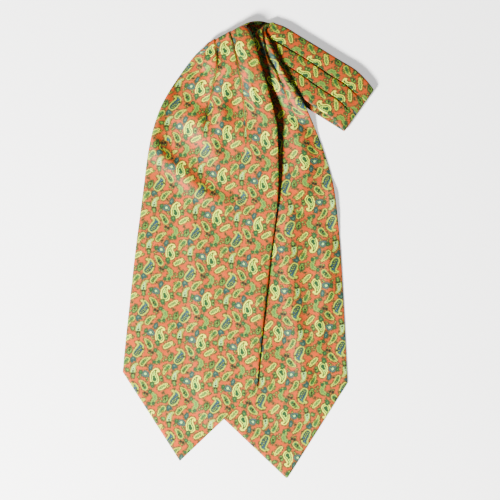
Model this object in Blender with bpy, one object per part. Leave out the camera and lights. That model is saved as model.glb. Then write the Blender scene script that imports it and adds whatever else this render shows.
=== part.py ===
"""A silk day cravat laid flat: two pointed blades joined by a pleated neckband.

The band is folded in half towards the upper right. Its lower half turns over at the top into the
front blade, and its upper half turns over, inside that, into the back blade. Every stretch is a
cloth wall, drawn in sections that run across the cloth. Tables are in millimetres, with +X to the
right, +Y towards the neck and +Z up from the table that the cravat lies on.
"""

import math
from collections import namedtuple

import bpy
import numpy as np
from mathutils import Vector

MM = 0.001

# The cloth walls, in millimetres
SEAM_GAP = 0.3
BLADE_WALL = 1.8
NECK_WALL = 3.6
BAND_WALL = 3.0
PLEAT_STEP = 0.9
TUCK_DEPTH = 1.9
TUCK_HALF_WIDTH = 2.3
STRIP_CROWN = 1.3
EDGE_ROUND = 0.35
EDGE_CLEARANCE = 2.5

# How far cloth takes to come down to the table beside what it lies on
BAND_DROP = 26.0
BLADE_DROP = 20.0

# The cloth thickens towards the neck between these distances from the bottom of the sheet
NECK_STARTS_Y = 105.0
NECK_FULL_Y = 215.0

# Heights of the stacked layers at the neck
LOWER_BAND_MIDDLE = BAND_WALL / 2
UPPER_BAND_MIDDLE = BAND_WALL + SEAM_GAP + BAND_WALL / 2
UPPER_BAND_TOP = UPPER_BAND_MIDDLE + BAND_WALL / 2 + PLEAT_STEP
BACK_NECK_REST = UPPER_BAND_TOP + SEAM_GAP

# A section runs from the cloth's left edge to its right edge, as seen from the neck end up the sheet.
# tuck_a and tuck_b are the places of the two tucks, as shares of the section. gather is 1 where they
# are sewn deep and 0 where they have opened out. lift_left and lift_right hold the edges off the table.
Section = namedtuple("Section", "left_x left_y right_x right_y tuck_a tuck_b gather lift_left lift_right")

FRONT_SECTIONS = [
    Section(-47.0, 222.2, 2.5, 240.4, 0.24, 0.64, 1.00, 5.4, 12.4),
    Section(-58.8, 212.5, 7.0, 226.5, 0.37, 0.66, 1.00, 3.0, 13.6),
    Section(-73.0, 194.0, 12.5, 208.0, 0.45, 0.72, 0.80, 0.6, 14.6),
    Section(-86.0, 174.5, 18.5, 187.5, 0.46, 0.75, 0.55, 0.0, 14.0),
    Section(-97.0, 153.5, 25.5, 163.5, 0.44, 0.75, 0.30, 0.0, 11.4),
    Section(-105.5, 128.0, 31.8, 136.0, 0.42, 0.75, 0.10, 0.0, 8.8),
    Section(-111.0, 101.0, 33.3, 106.0, 0.41, 0.77, 0.00, 0.0, 6.4),
    Section(-115.0, 70.0, 33.6, 73.0, 0.40, 0.78, 0.00, 0.0, 4.4),
    Section(-119.0, 39.0, 31.5, 40.0, 0.40, 0.79, 0.00, 0.0, 3.2),
    Section(-124.8, -6.0, 25.4, -8.0, 0.40, 0.79, 0.00, 0.0, 0.0),
    Section(-130.0, -54.0, 19.5, -60.0, 0.40, 0.79, 0.00, 0.0, 0.0),
    Section(-134.6, -96.0, 14.6, -106.0, 0.40, 0.79, 0.00, 0.0, 0.0),
    Section(-138.3, -135.3, 10.4, -151.8, 0.40, 0.79, 0.00, 0.0, 0.0),
]
FRONT_TIP = (-76.0, -233.6)

BACK_SECTIONS = [
    Section(-30.0, 203.0, 19.2, 236.7, 0.72, 0.93, 1.00, 0.0, 0.0),
    Section(-37.5, 180.0, 31.5, 213.0, 0.70, 0.88, 0.95, 0.0, 0.0),
    Section(-45.5, 155.0, 44.0, 189.0, 0.70, 0.89, 0.75, 0.0, 0.0),
    Section(-53.5, 128.0, 59.5, 164.0, 0.70, 0.88, 0.45, 0.0, 0.0),
    Section(-58.5, 99.0, 73.5, 134.0, 0.72, 0.84, 0.20, 0.0, 0.0),
    Section(-60.5, 70.0, 85.5, 102.0, 0.71, 0.82, 0.05, 0.0, 0.0),
    Section(-59.0, 40.0, 94.6, 68.0, 0.70, 0.82, 0.00, 0.0, 0.0),
    Section(-55.5, -4.0, 100.3, 20.0, 0.70, 0.82, 0.00, 0.0, 0.0),
    Section(-51.5, -51.0, 103.8, -28.0, 0.70, 0.82, 0.00, 0.0, 0.0),
    Section(-48.0, -110.5, 107.0, -88.0, 0.70, 0.82, 0.00, 0.0, 0.0),
    Section(-45.7, -169.3, 109.7, -147.2, 0.70, 0.82, 0.00, 0.0, 0.0),
]
BACK_TIP = (42.8, -253.2)

UPPER_BAND_SECTIONS = [
    Section(-31.0, 204.0, 30.0, 248.6, 0.34, 0.67, 1.00, 0.0, 0.0),
    Section(-6.0, 204.5, 42.0, 244.2, 0.34, 0.67, 1.00, 0.0, 0.0),
    Section(20.0, 193.0, 57.0, 235.0, 0.34, 0.67, 1.00, 0.0, 0.0),
    Section(45.0, 177.5, 79.0, 221.8, 0.34, 0.67, 1.00, 0.0, 0.0),
    Section(69.0, 159.5, 101.0, 208.3, 0.34, 0.67, 1.00, 0.0, 0.0),
    Section(88.0, 146.8, 119.0, 197.2, 0.34, 0.67, 1.00, 0.0, 0.0),
    Section(102.6, 133.6, 132.8, 183.4, 0.34, 0.67, 0.60, 0.0, 0.0),
]

LOWER_BAND_SECTIONS = [
    Section(-40.0, 217.0, 19.0, 250.6, 0.34, 0.67, 0.0, 0.0, 0.0),
    Section(-6.0, 206.0, 38.0, 244.0, 0.34, 0.67, 0.0, 0.0, 0.0),
    Section(28.0, 184.0, 62.0, 229.5, 0.34, 0.67, 0.0, 0.0, 0.0),
    Section(60.9, 158.4, 94.0, 210.0, 0.34, 0.67, 0.0, 0.0, 0.0),
    Section(83.5, 143.6, 116.0, 196.0, 0.34, 0.67, 0.0, 0.0, 0.0),
    Section(102.0, 132.0, 132.8, 182.8, 0.34, 0.67, 0.0, 0.0, 0.0),
]

# The crests of the three turns: the left and right ends of the line where each turn is widest
Crest = namedtuple("Crest", "left_x left_y left_z right_x right_y right_z")

FRONT_TURN_CREST = Crest(-43.2, 224.4, 4.4, 0.8, 248.4, 8.6)
BACK_TURN_CREST = Crest(-36.6, 206.0, 7.3, 22.0, 246.4, 7.3)
BAND_FOLD_CREST = Crest(105.1, 130.4, 3.2, 138.1, 176.2, 3.2)

# Soft folds that lift the cloth off the table. Each is a row of points along its crest.
Fold = namedtuple("Fold", "x y half_width height")

FRONT_FOLDS = [
    [
        Fold(-80.0, 152.0, 14.0, 2.0),
        Fold(-67.0, 147.0, 16.0, 5.6),
        Fold(-54.0, 137.0, 16.0, 8.0),
        Fold(-44.0, 122.0, 14.0, 7.4),
        Fold(-37.0, 106.0, 13.0, 4.6),
        Fold(-28.0, 90.0, 12.0, 0.0),
    ],
    [
        Fold(-24.0, 150.0, 12.0, 0.0),
        Fold(-10.0, 138.0, 13.0, 2.6),
        Fold(0.0, 118.0, 12.0, 2.4),
        Fold(4.0, 96.0, 11.0, 0.0),
    ],
    [
        Fold(-23.0, 186.0, 7.0, 0.0),
        Fold(-24.0, 168.0, 8.0, 2.0),
        Fold(-27.0, 144.0, 8.0, 2.2),
        Fold(-30.0, 120.0, 8.0, 0.0),
    ],
]
# The left edge stands up along the shoulder, then this ridge runs on into the blade
FRONT_ROLLED_EDGE = [
    Fold(-79.0, 186.0, 7.0, 1.0),
    Fold(-90.0, 168.0, 8.0, 5.2),
    Fold(-100.0, 148.0, 9.5, 6.8),
    Fold(-106.0, 127.0, 11.0, 6.6),
    Fold(-101.0, 110.0, 11.0, 5.4),
    Fold(-90.0, 98.0, 10.0, 4.4),
    Fold(-70.0, 80.0, 10.0, 3.8),
    Fold(-49.0, 62.0, 10.0, 3.4),
    Fold(-35.0, 54.0, 9.0, 2.2),
    Fold(-20.0, 48.0, 8.0, 0.0),
]
BACK_FOLDS = [
    [
        Fold(48.0, 146.0, 10.0, 0.0),
        Fold(54.0, 132.0, 11.0, 2.8),
        Fold(60.0, 110.0, 11.0, 3.8),
        Fold(63.0, 84.0, 11.0, 2.6),
        Fold(56.0, 62.0, 11.0, 1.6),
        Fold(47.0, 42.0, 11.0, 2.6),
        Fold(46.0, 10.0, 11.0, 1.8),
        Fold(46.0, -24.0, 11.0, 2.4),
        Fold(48.0, -62.0, 11.0, 3.0),
        Fold(58.0, -106.0, 11.0, 3.0),
        Fold(62.0, -146.0, 11.0, 2.6),
        Fold(42.0, -176.0, 11.0, 2.4),
        Fold(34.0, -206.0, 11.0, 0.0),
    ],
    [
        Fold(84.0, 30.0, 9.0, 0.0),
        Fold(87.0, -4.0, 9.0, 2.2),
        Fold(88.0, -50.0, 9.0, 2.4),
        Fold(78.0, -80.0, 9.0, 2.0),
        Fold(76.0, -118.0, 9.0, 2.0),
        Fold(80.0, -140.0, 9.0, 0.0),
    ],
]
BACK_ROLLED_EDGE = [
    Fold(90.0, 78.0, 8.0, 0.0),
    Fold(97.0, 60.0, 9.0, 2.6),
    Fold(100.5, 38.0, 9.0, 2.0),
    Fold(101.5, 14.0, 8.0, 0.0),
]

# How many columns of faces lie between the marked places of a section, and how many rows each part has
FRONT_COLUMNS = (8, 3, 7, 6)
BACK_COLUMNS = (8, 5, 5, 6)
BAND_COLUMNS = (5, 5, 5)
FRONT_ROWS = 34
BACK_ROWS = 32
BAND_ROWS = 14
TURN_ROWS = 8
POINT_STARTS = 0.55

SILK_COLOUR = (0.74, 0.23, 0.12, 1.0)
SILK_SHADE_COLOUR = (0.58, 0.16, 0.09, 1.0)
SILK_ROUGHNESS = 0.42


def ease(low, high, value):
    """0 below low, 1 above high and a smooth rise between."""
    share = np.clip((np.asarray(value, float) - low) / (high - low), 0.0, 1.0)
    return share * share * (3.0 - 2.0 * share)


def through(values, share):
    """A smooth curve through evenly numbered values, read at a share from 0 to 1."""
    values = np.asarray(values, float)
    place = share * (len(values) - 1)
    k = min(int(place), len(values) - 2)
    t = place - k
    before, start, end, after = (
        values[min(max(k + step, 0), len(values) - 1)] for step in (-1, 0, 1, 2)
    )
    cubic = 3 * (start - end) + after - before
    return start + 0.5 * t * (end - before + t * (2 * before - 5 * start + 4 * end - after + t * cubic))


def section_lengths(sections):
    """The distance along the cloth's middle at each section, as a share of the whole."""
    middles = np.array([((s.left_x + s.right_x) / 2, (s.left_y + s.right_y) / 2) for s in sections])
    steps = np.linalg.norm(np.diff(middles, axis=0), axis=1)
    along = np.concatenate([[0.0], np.cumsum(steps)])
    return along / along[-1]


def section_at(sections, share):
    """The section at a share of the length, between the rows of the table."""
    row = float(np.interp(share, section_lengths(sections), np.arange(len(sections))))
    place = row / (len(sections) - 1)
    fields = range(len(Section._fields))
    read = Section(*(float(through([s[c] for s in sections], place)) for c in fields))
    return read._replace(
        gather=min(max(read.gather, 0.0), 1.0),
        lift_left=max(read.lift_left, 0.0),
        lift_right=max(read.lift_right, 0.0),
    )


def columns_between(marks, counts):
    """Shares across a section: each stretch between two marks has its own count of columns."""
    shares = [0.0]
    for start, end, count in zip([0.0, *marks], [*marks, 1.0], counts):
        shares += [start + (end - start) * (k + 1) / count for k in range(count)]
    return np.array(shares)


def outline_distance(outline, x, y):
    """How far each point is outside a closed outline. It is negative inside."""
    x, y = np.asarray(x, float), np.asarray(y, float)
    nearest = np.full(x.shape, np.inf)
    inside = np.zeros(x.shape, bool)
    for (ax, ay), (bx, by) in zip(outline, [*outline[1:], outline[0]]):
        span = (bx - ax) ** 2 + (by - ay) ** 2
        t = np.clip(((x - ax) * (bx - ax) + (y - ay) * (by - ay)) / max(span, 1e-9), 0.0, 1.0)
        nearest = np.minimum(nearest, np.hypot(x - ax - t * (bx - ax), y - ay - t * (by - ay)))
        if ay != by:
            crosses = ((ay > y) != (by > y)) & (x < (bx - ax) * (y - ay) / (by - ay) + ax)
            inside ^= crosses
    return np.where(inside, -nearest, nearest)


def fold_height(folds, x, y):
    """The height that the soft folds add at each point."""
    total = np.zeros(np.shape(x))
    for crest in folds:
        nearest = np.full(np.shape(x), np.inf)
        added = np.zeros(np.shape(x))
        for start, end in zip(crest, crest[1:]):
            dx, dy = end.x - start.x, end.y - start.y
            t = np.clip(((x - start.x) * dx + (y - start.y) * dy) / (dx * dx + dy * dy), 0.0, 1.0)
            away = np.hypot(x - start.x - t * dx, y - start.y - t * dy)
            half_width = start.half_width + t * (end.half_width - start.half_width)
            height = start.height + t * (end.height - start.height)
            closer = away < nearest
            nearest = np.where(closer, away, nearest)
            added = np.where(closer, height * np.exp(-((away / half_width) ** 2)), added)
        total += added
    return total


def band_outline():
    lower = [(s.left_x, s.left_y) for s in UPPER_BAND_SECTIONS]
    upper = [(s.right_x, s.right_y) for s in reversed(UPPER_BAND_SECTIONS)]
    return lower + upper


def back_outline():
    """The back blade's outline with its turn, which the front blade lies on."""
    crest = BACK_TURN_CREST
    left = [(s.left_x, s.left_y) for s in BACK_SECTIONS]
    right = [(s.right_x, s.right_y) for s in reversed(BACK_SECTIONS)]
    start, end = (crest.left_x - 2.0, crest.left_y + 1.5), (crest.right_x, crest.right_y + 1.5)
    return [start, *left, BACK_TIP, *right, end]


def neck_wall(y):
    return BLADE_WALL + (NECK_WALL - BLADE_WALL) * ease(NECK_STARTS_Y, NECK_FULL_Y, y)


def back_rest(x, y):
    """The height of the back blade's underside: on the band, then down to the table."""
    beside = outline_distance(band_outline(), x, y)
    on_band = BACK_NECK_REST * (1.0 - ease(0.0, BAND_DROP, beside))
    off_band = 1.0 - ease(-BAND_DROP, 0.0, -beside)
    inner = ease(-14.0, 0.0, -outline_distance_blade(x, y))
    return on_band + fold_height(BACK_FOLDS, x, y) * off_band * inner


def outline_distance_blade(x, y):
    """Distance outside the back blade's own outline, so that its folds die out at the edges."""
    return outline_distance(back_outline(), x, y) + 6.0


def front_rest(x, y):
    """The height that the back blade holds the front blade's underside at."""
    over_back = back_rest(x, y) + neck_wall(y) + STRIP_CROWN * ease(NECK_STARTS_Y, NECK_FULL_Y, y)
    beside = outline_distance(back_outline(), x, y) - EDGE_CLEARANCE
    return (over_back + 2 * SEAM_GAP) * (1.0 - ease(0.0, BLADE_DROP, beside))


def higher_of(first, second):
    """A smooth maximum that is never below either and is 0 where both are."""
    return (first**4 + second**4) ** 0.25


def tuck_relief(section, shares, width):
    """What the tucks and the crowned strips between them add to the outer face."""
    relief = np.zeros(len(shares))
    for tuck in (section.tuck_a, section.tuck_b):
        relief -= TUCK_DEPTH * np.exp(-(((shares - tuck) * width / TUCK_HALF_WIDTH) ** 2))
    for start, end in ((0.0, section.tuck_a), (section.tuck_a, section.tuck_b), (section.tuck_b, 1.0)):
        within = (shares >= start) & (shares <= end)
        relief[within] += STRIP_CROWN * np.sin(math.pi * (shares[within] - start) / (end - start))
    return relief * section.gather


def blade_sheet(sections, tip, counts, rows, rest, folds, rolled, middle_mark):
    """Middle points, wall and relief of a blade, from the turn to its pointed end.

    The soft folds die out at the blade's edges, and the rolled ones lift the edge with them.
    """
    corner = sections[-1]
    corner_middle = np.array([(corner.left_x + corner.right_x) / 2, (corner.left_y + corner.right_y) / 2])
    to_tip = np.array(tip) - corner_middle
    points, walls, reliefs = [], [], []
    for row in range(rows + 1):
        share = row / rows
        section = section_at(sections, share)
        marks = sorted([section.tuck_a, section.tuck_b, middle_mark(section)])
        shares = columns_between(marks, counts)
        left = np.array([section.left_x, section.left_y])
        right = np.array([section.right_x, section.right_y])
        plan = left + shares[:, None] * (right - left)
        peak = middle_mark(section)
        towards_tip = np.where(shares < peak, shares / peak, (1.0 - shares) / (1.0 - peak))
        pointed = max(0.0, (share - POINT_STARTS) / (1.0 - POINT_STARTS)) ** 1.6
        plan = plan + pointed * towards_tip[:, None] * to_tip
        x, y = plan[:, 0], plan[:, 1]
        lift = section.lift_left + (section.lift_right - section.lift_left) * ease(0.15, 0.95, shares)
        edge = ease(0.0, 0.12, shares) * ease(0.0, 0.10, 1.0 - shares) * (1.0 - ease(0.9, 1.0, share))
        under = higher_of(rest(x, y), lift) + fold_height(folds, x, y) * edge + fold_height(rolled, x, y)
        wall = neck_wall(y)
        points.append(np.column_stack([x, y, under + wall / 2]))
        walls.append(wall)
        reliefs.append(tuck_relief(section, shares, float(np.linalg.norm(right - left))))
    return np.array(points), np.array(walls), np.array(reliefs)


def band_sheet(sections, middle, step, rows):
    """A stretch of the neckband: flat underneath, with its two pleats as steps on top."""
    points, walls, reliefs = [], [], []
    for row in range(rows + 1):
        section = section_at(sections, row / rows)
        shares = columns_between([section.tuck_a, section.tuck_b], BAND_COLUMNS)
        left = np.array([section.left_x, section.left_y])
        right = np.array([section.right_x, section.right_y])
        plan = left + shares[:, None] * (right - left)
        points.append(np.column_stack([plan, np.full(len(shares), middle)]))
        walls.append(np.full(len(shares), BAND_WALL))
        reliefs.append(pleat_relief(section, shares, step))
    return np.array(points), np.array(walls), np.array(reliefs)


def pleat_relief(section, shares, step):
    """Each strip of the band rises to its folded edge, which lies on the strip below it."""
    relief = np.zeros(len(shares))
    for start, end in ((0.0, section.tuck_a), (section.tuck_a, section.tuck_b), (section.tuck_b, 1.0)):
        within = (shares > start + 1e-6) & (shares <= end + 1e-6)
        relief[within] = step * (end - shares[within]) / (end - start)
    return relief * section.gather


def crest_points(crest, shares):
    left = np.array([crest.left_x, crest.left_y, crest.left_z])
    right = np.array([crest.right_x, crest.right_y, crest.right_z])
    return left + shares[:, None] * (right - left)


def turn_sheet(top, bottom, crest, shares, wall_top, wall_bottom, relief_top, relief_bottom):
    """A turn of the cloth: each column goes round half an ellipse from its top point to its bottom one."""
    middle = (top + bottom) / 2
    widest = crest_points(crest, shares)
    line = np.array([crest.right_x - crest.left_x, crest.right_y - crest.left_y])
    outward = np.array([-line[1], line[0]]) / np.linalg.norm(line)
    if outward @ (widest - middle).mean(axis=0)[:2] < 0:
        outward = -outward
    points, walls, reliefs, normals = [], [], [], []
    for row in range(TURN_ROWS + 1):
        angle = math.pi * row / TURN_ROWS
        share = row / TURN_ROWS
        points.append(middle + (top - bottom) / 2 * math.cos(angle) + (widest - middle) * math.sin(angle))
        walls.append(wall_top + (wall_bottom - wall_top) * share)
        reliefs.append(relief_top + (relief_bottom - relief_top) * share)
        normals.append([outward[0] * math.sin(angle), outward[1] * math.sin(angle), math.cos(angle)])
    spread = np.repeat(np.array(normals)[:, None, :], len(shares), axis=1)
    return np.array(points), np.array(walls), np.array(reliefs), spread


def cloth_wall(name, points, walls, reliefs, material, normals=None, seams=()):
    """One closed wall: an outer and an inner grid of points, joined round the edge by a rounded rim.

    The rows named in seams meet the next piece, so their rim stays flat.
    """
    if normals is None:
        normals = np.zeros_like(points)
        normals[..., 2] = 1.0
    outer = points + normals * (walls / 2 + reliefs)[..., None]
    inner = points - normals * (walls / 2)[..., None]
    rows, columns = points.shape[:2]
    rim = rim_of(rows, columns)
    middle = points.reshape(-1, 3)
    rim_points = []
    flat_rows = [row % rows for row in seams]
    for index, inside in rim:
        away = middle[index] - middle[inside]
        length = max(float(np.linalg.norm(away)), 1e-6)
        inset = 0.0 if index // columns in flat_rows else EDGE_ROUND * walls.reshape(-1)[index]
        for face in (outer, inner):
            face.reshape(-1, 3)[index] -= away / length * inset
        rim_points.append(middle[index])
    vertices = np.vstack([outer.reshape(-1, 3), inner.reshape(-1, 3), np.array(rim_points)])
    vertices[:, 2] = np.maximum(vertices[:, 2], 0.0)
    count = rows * columns
    faces = []
    for r in range(rows - 1):
        for c in range(columns - 1):
            a, b = r * columns + c, r * columns + c + 1
            d, e = a + columns, b + columns
            faces.append((a, d, e, b))
            faces.append((count + a, count + b, count + e, count + d))
    for k in range(len(rim)):
        here, there = rim[k][0], rim[(k + 1) % len(rim)][0]
        near, far = 2 * count + k, 2 * count + (k + 1) % len(rim)
        faces.append((here, there, far, near))
        faces.append((near, far, count + there, count + here))
    mesh = bpy.data.meshes.new(name)
    mesh.from_pydata([tuple(v * MM) for v in vertices], [], faces)
    mesh.materials.append(material)
    mesh.shade_smooth()
    mesh.set_sharp_from_angle(angle=math.radians(50))
    cloth = bpy.data.objects.new(name, mesh)
    bpy.context.scene.collection.objects.link(cloth)
    face_outwards(cloth)


def rim_of(rows, columns):
    """The grid's edge points in order, each with the point next to it on the inside."""
    top = [(c, columns + c) for c in range(columns)]
    right = [(r * columns + columns - 1, r * columns + columns - 2) for r in range(1, rows)]
    bottom = [((rows - 1) * columns + c, (rows - 2) * columns + c) for c in range(columns - 2, -1, -1)]
    left = [(r * columns, r * columns + 1) for r in range(rows - 2, 0, -1)]
    return top + right + bottom + left


def face_outwards(cloth):
    """Turns every face of the closed wall outwards."""
    volume = 0.0
    for polygon in cloth.data.polygons:
        corners = [cloth.data.vertices[i].co for i in polygon.vertices]
        for k in range(1, len(corners) - 1):
            volume += corners[0].dot(corners[k].cross(corners[k + 1]))
    if volume < 0:
        cloth.data.flip_normals()


def shortened(sheet, at_start, at_end):
    """The sheet with its first or last row moved in by the seam gap, square to the seam."""
    points = sheet[0].copy()
    for wanted, row, inside in ((at_start, 0, 2), (at_end, -1, -3)):
        if wanted:
            line = points[row][-1] - points[row][0]
            square = np.array([-line[1], line[0], 0.0]) / np.linalg.norm(line[:2])
            if square @ (points[inside] - points[row]).mean(axis=0) < 0:
                square = -square
            points[row] += square * SEAM_GAP
    return (points, *sheet[1:])


def centre_on_origin(pieces):
    """Moves all the pieces: the middle of the footprint to the origin and the lowest point to 0."""
    corners = np.array([tuple(v.co) for piece in pieces for v in piece.data.vertices])
    low, high = corners.min(axis=0), corners.max(axis=0)
    shift = np.array([-(low[0] + high[0]) / 2, -(low[1] + high[1]) / 2, -low[2]])
    for piece in pieces:
        for vertex in piece.data.vertices:
            vertex.co = vertex.co + Vector(shift)


def silk(name, colour):
    material = bpy.data.materials.new(name)
    material.use_nodes = True
    shader = material.node_tree.nodes["Principled BSDF"]
    shader.inputs["Base Color"].default_value = colour
    shader.inputs["Roughness"].default_value = SILK_ROUGHNESS
    shader.inputs["Metallic"].default_value = 0.0
    return material


def front_middle_mark(section):
    """The column that ends at the front blade's point lies a quarter of the way between the tucks."""
    return section.tuck_a + (section.tuck_b - section.tuck_a) * 0.256


def back_middle_mark(section):
    """The column that ends at the back blade's point lies left of both tucks."""
    return section.tuck_a * 0.714


def resampled(sheet, old_shares, new_shares):
    """A row of a sheet read again at other shares across it."""
    return np.column_stack([np.interp(new_shares, old_shares, sheet[:, k]) for k in range(sheet.shape[1])])


def build():
    for leftover in list(bpy.data.objects):
        bpy.data.objects.remove(leftover, do_unlink=True)
    face_silk = silk("silk", SILK_COLOUR)
    band_silk = silk("silk_band", SILK_SHADE_COLOUR)

    front = blade_sheet(
        FRONT_SECTIONS, FRONT_TIP, FRONT_COLUMNS, FRONT_ROWS, front_rest,
        FRONT_FOLDS, [FRONT_ROLLED_EDGE], front_middle_mark,
    )
    back = blade_sheet(
        BACK_SECTIONS, BACK_TIP, BACK_COLUMNS, BACK_ROWS, back_rest,
        [], [BACK_ROLLED_EDGE], back_middle_mark,
    )
    upper = band_sheet(UPPER_BAND_SECTIONS, UPPER_BAND_MIDDLE, PLEAT_STEP, BAND_ROWS)
    lower = band_sheet(LOWER_BAND_SECTIONS, LOWER_BAND_MIDDLE, 0.0, BAND_ROWS)

    band_shares = columns_between([0.34, 0.67], BAND_COLUMNS)
    pieces = {}
    for name, blade, band, crest, counts, sections, mark in (
        ("front_turn", front, lower, FRONT_TURN_CREST, FRONT_COLUMNS, FRONT_SECTIONS, front_middle_mark),
        ("back_turn", back, upper, BACK_TURN_CREST, BACK_COLUMNS, BACK_SECTIONS, back_middle_mark),
    ):
        first = sections[0]
        shares = columns_between(sorted([first.tuck_a, first.tuck_b, mark(first)]), counts)
        ending = resampled(band[0][0], band_shares, shares)
        pieces[name] = turn_sheet(
            blade[0][0], ending, crest, shares, blade[1][0], np.full(len(shares), BAND_WALL),
            blade[2][0], np.zeros(len(shares)),
        )
    fold_end = lower[0][-1]
    pieces["neckband_fold"] = turn_sheet(
        upper[0][-1], fold_end, BAND_FOLD_CREST, band_shares, upper[1][-1], lower[1][-1],
        upper[2][-1], np.zeros(len(band_shares)),
    )

    cloth_wall("front_blade", *shortened(front, True, False), face_silk, seams=(0,))
    cloth_wall("back_blade", *shortened(back, True, False), face_silk, seams=(0,))
    cloth_wall("neckband_upper", *shortened(upper, True, True), band_silk, seams=(0, -1))
    cloth_wall("neckband_lower", *shortened(lower, True, True), band_silk, seams=(0, -1))
    for name, sheet in pieces.items():
        material = band_silk if name == "neckband_fold" else face_silk
        cloth_wall(name, *sheet[:3], material, normals=sheet[3], seams=(0, -1))
    centre_on_origin(list(bpy.data.objects))


build()
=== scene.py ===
import math
from collections import namedtuple

import bpy
import numpy as np
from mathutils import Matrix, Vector


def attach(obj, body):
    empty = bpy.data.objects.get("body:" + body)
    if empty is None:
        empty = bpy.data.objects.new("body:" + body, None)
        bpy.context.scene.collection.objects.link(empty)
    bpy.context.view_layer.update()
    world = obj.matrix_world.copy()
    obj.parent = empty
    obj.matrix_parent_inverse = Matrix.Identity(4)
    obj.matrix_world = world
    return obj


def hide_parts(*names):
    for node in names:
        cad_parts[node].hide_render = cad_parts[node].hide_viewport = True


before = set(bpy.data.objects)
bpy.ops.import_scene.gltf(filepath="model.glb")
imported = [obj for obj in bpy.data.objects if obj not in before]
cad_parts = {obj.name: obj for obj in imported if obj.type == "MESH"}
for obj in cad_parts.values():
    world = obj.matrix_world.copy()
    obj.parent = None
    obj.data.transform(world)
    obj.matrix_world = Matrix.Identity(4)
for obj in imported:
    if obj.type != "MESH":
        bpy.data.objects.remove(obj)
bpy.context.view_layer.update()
print("cravat: frame loaded")

mm = 0.001
sheetShift = np.array([-0.2, 0.8, 0.0])   # the tables below are in mm, before the frame centres them
repeat = 46.1                             # one paisley repeat
seamGap = 0.3
bladeWall = 1.3
neckWall = 3.6
bandWall = 3.0
plyThick = 0.34                           # one ply of silk
stripCrown = 1.3                          # how far a gathered strip bulges
bandDrop = 26.0                           # the back blade comes down to the table over this width
bladeDrop = 20.0                          # and the front blade off the back one over this
edgeSetIn = 2.5                           # the front blade starts down this far past the back one's edge
backFoldMargin = 6.0                      # the back blade's folds stop this far inside its edge
backFoldFade = 14.0
neckStartsY = 105.0
neckFullY = 215.0
upperBandMiddle = bandWall + seamGap + bandWall / 2
backNeckRest = bandWall * 2 + seamGap * 2 + 0.9

# maths


def ease(low, high, value):
    share = np.clip((np.asarray(value, float) - low) / (high - low), 0.0, 1.0)
    return share * share * (3.0 - 2.0 * share)


def through(values, share):  # smooth curve through evenly numbered rows
    values = np.asarray(values, float)
    place = share * (len(values) - 1)
    k = min(int(place), len(values) - 2)
    t = place - k
    before, start, end, after = (values[min(max(k + step, 0), len(values) - 1)] for step in (-1, 0, 1, 2))
    return start + 0.5 * t * (end - before + t * (
        2 * before - 5 * start + 4 * end - after + t * (3 * (start - end) + after - before)))


def rowAt(table, share):  # share of the length along the cloth's middle
    middles = np.array([((s.leftX + s.rightX) / 2, (s.leftY + s.rightY) / 2) for s in table])
    along = np.concatenate([[0.0], np.cumsum(np.linalg.norm(np.diff(middles, axis=0), axis=1))])
    place = float(np.interp(share, along / along[-1], np.arange(len(table)))) / (len(table) - 1)
    return type(table[0])(*through(np.array(table), place))


def rowEnds(row, *height):
    return np.array([row.leftX, row.leftY, *height]), np.array([row.rightX, row.rightY, *height])


def outlineDistance(outline, x, y):  # mm outside a closed outline, negative inside
    x, y = np.asarray(x, float), np.asarray(y, float)
    nearest = np.full(x.shape, np.inf)
    inside = np.zeros(x.shape, bool)
    for (ax, ay), (bx, by) in zip(outline, [*outline[1:], outline[0]]):
        span = (bx - ax) ** 2 + (by - ay) ** 2
        t = np.clip(((x - ax) * (bx - ax) + (y - ay) * (by - ay)) / max(span, 1e-9), 0.0, 1.0)
        nearest = np.minimum(nearest, np.hypot(x - ax - t * (bx - ax), y - ay - t * (by - ay)))
        if ay != by:
            inside ^= ((ay > y) != (by > y)) & (x < (bx - ax) * (y - ay) / (by - ay) + ax)
    return np.where(inside, -nearest, nearest)


def besideLine(line, x, y):  # signed distance (+ on the right going down) and the line's own values there
    best = np.full(x.shape, np.inf)
    side = np.zeros(x.shape)
    values = np.zeros((*x.shape, len(line[0]) - 2))
    for a, b in zip(line, line[1:]):
        dx, dy = b[0] - a[0], b[1] - a[1]
        t = np.clip(((x - a[0]) * dx + (y - a[1]) * dy) / (dx * dx + dy * dy), 0.0, 1.0)
        away = np.hypot(x - a[0] - t * dx, y - a[1] - t * dy)
        closer = away < best
        best = np.where(closer, away, best)
        side = np.where(closer, np.sign(dx * (y - a[1]) - dy * (x - a[0])), side)
        read = np.array(a[2:])[None] + t[..., None] * (np.array(b[2:]) - np.array(a[2:]))[None]
        values = np.where(closer[..., None], read.reshape(values.shape), values)
    return best * side, values


def softFolds(folds, x, y):
    total = np.zeros(np.shape(x))
    for fold in folds:
        away, values = besideLine(fold, x, y)
        total += values[..., 1] * np.exp(-((away / values[..., 0]) ** 2))
    return total


Row = namedtuple("Row", "leftX leftY rightX rightY gather liftLeft liftRight")
Crest = namedtuple("Crest", "leftX leftY leftZ rightX rightY rightZ")
Fold = namedtuple("Fold", "x y halfWidth height")         # a point of a ridge, or of a trough below zero
Tuck = namedtuple("Tuck", "x y hidden halfWidth depth")   # hidden: mm of cloth folded away in it

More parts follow.
